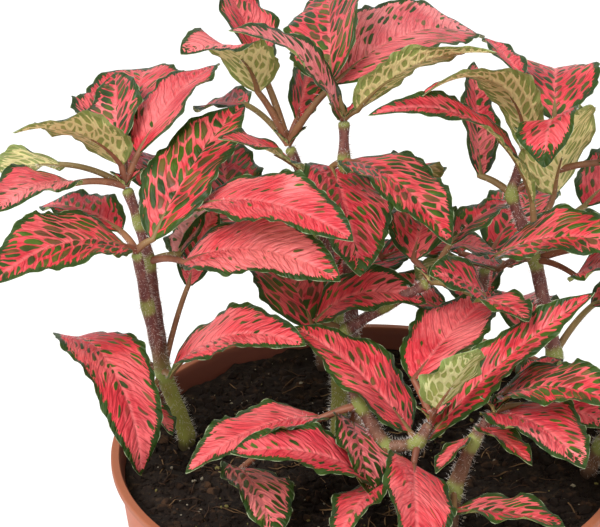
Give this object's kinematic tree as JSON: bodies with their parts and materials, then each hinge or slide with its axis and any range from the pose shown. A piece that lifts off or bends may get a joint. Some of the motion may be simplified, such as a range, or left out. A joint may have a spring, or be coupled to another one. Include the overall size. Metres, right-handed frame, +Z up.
{
  "type": "potted nerve plant",
  "caption": "Young nerve plant with red-veined waved leaves on forked stems, growing in peat in a plain round tapered plastic nursery pot.",
  "frame": {"origin": "The middle of the pot's flat underside, on the surface that the pot stands on.", "axes": "+Z is up along the pot's axis. -Y is the side that faces the viewer in the reference view, and +X is the viewer's right."},
  "size_m": [0.1806, 0.1446, 0.2036],
  "materials": {
    "pot_plastic": "satin moulded terracotta-coloured plastic",
    "peat": "loose dark moist peat with fibres and pale grains",
    "leafy_stem": "living leaves with coral red veins, green cells and a green margin, on brown-red hairy stems"
  },
  "bodies": {
    "root": {"pot": "pot_plastic", "soil": "peat", "stem_left": "leafy_stem", "stem_rear_left": "leafy_stem", "stem_rear_middle": "leafy_stem", "stem_rear_right": "leafy_stem", "stem_centre": "leafy_stem", "stem_front": "leafy_stem", "stem_front_right": "leafy_stem", "stem_back": "leafy_stem", "stem_back_right": "leafy_stem", "stem_right": "leafy_stem"}
  },
  "joints": []
}
